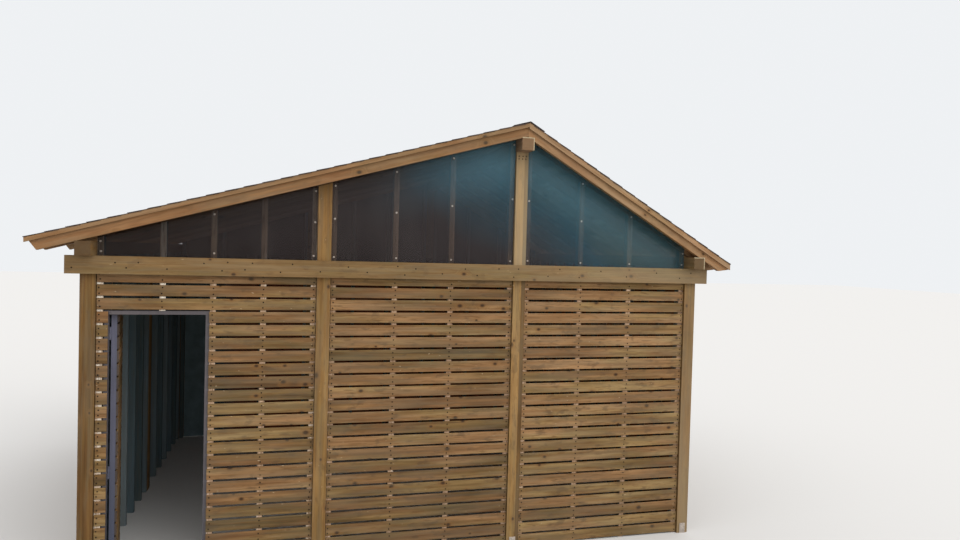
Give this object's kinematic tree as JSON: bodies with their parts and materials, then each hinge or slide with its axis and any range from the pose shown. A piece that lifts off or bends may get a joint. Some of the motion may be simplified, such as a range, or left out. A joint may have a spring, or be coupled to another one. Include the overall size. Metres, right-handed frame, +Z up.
{
  "type": "boathouse",
  "caption": "Timber frame boathouse with horizontal slat walls, an unequal gable roof in shingles and a slatted door in a steel frame",
  "frame": {"origin": "on the floor, under the middle of the roof outline", "axes": "+X to the right of the front gable, +Y from the front gable to the back one, +Z up; the doorway faces -Y"},
  "size_m": [5.9082, 4.76, 3.8009],
  "materials": {
    "post_wood": "weathered softwood, square sawn",
    "beam_wood": "weathered softwood, pale on cut ends",
    "rafter_wood": "stained softwood",
    "trim_wood": "weathered softwood strip",
    "deck_wood": "plain softwood boards",
    "slat_wood": "weathered softwood slats, nailed",
    "shingle": "mineral faced bitumen shingles",
    "dark_sheet": "dark smoked sheet",
    "grey_steel": "grey painted square tube",
    "zinc_steel": "dull galvanised plate"
  },
  "bodies": {
    "shed": {"corner_posts": "post_wood", "front_posts": "post_wood", "back_posts": "post_wood", "side_posts": "post_wood", "foot_plates": "zinc_steel", "front_tie_beam": "beam_wood", "back_tie_beam": "beam_wood", "left_plate": "beam_wood", "right_plate": "beam_wood", "ridge_beam": "beam_wood", "barge_left": "rafter_wood", "barge_right": "rafter_wood", "commons_left": "rafter_wood", "commons_right": "rafter_wood", "trim_left": "trim_wood", "trim_right": "trim_wood", "deck_left": "deck_wood", "deck_right": "deck_wood", "shingles_left": "shingle", "shingles_right": "shingle", "capping": "shingle", "door_bay_left": "slat_wood", "door_bay_top": "slat_wood", "door_bay_right": "slat_wood", "front_middle": "slat_wood", "front_right": "slat_wood", "back_left": "slat_wood", "back_middle": "slat_wood", "back_right": "slat_wood", "left_front": "slat_wood", "left_back": "slat_wood", "right_front": "slat_wood", "right_back": "slat_wood", "lining": "dark_sheet", "front_sheets": "dark_sheet", "back_sheets": "dark_sheet", "door_jambs": "grey_steel", "door_head": "grey_steel", "jamb_hinges": "grey_steel"},
    "door": {"leaf_stiles": "grey_steel", "leaf_rails": "grey_steel", "leaf_slats": "slat_wood", "leaf_hinges": "grey_steel"}
  },
  "joints": [
    {"name": "door_hinge", "type": "hinge", "parent": "shed", "child": "door", "pos_m": [-2.42215, -2.126, 1], "axis": [0, 0, 1], "range_deg": [-100, 0]}
  ]
}
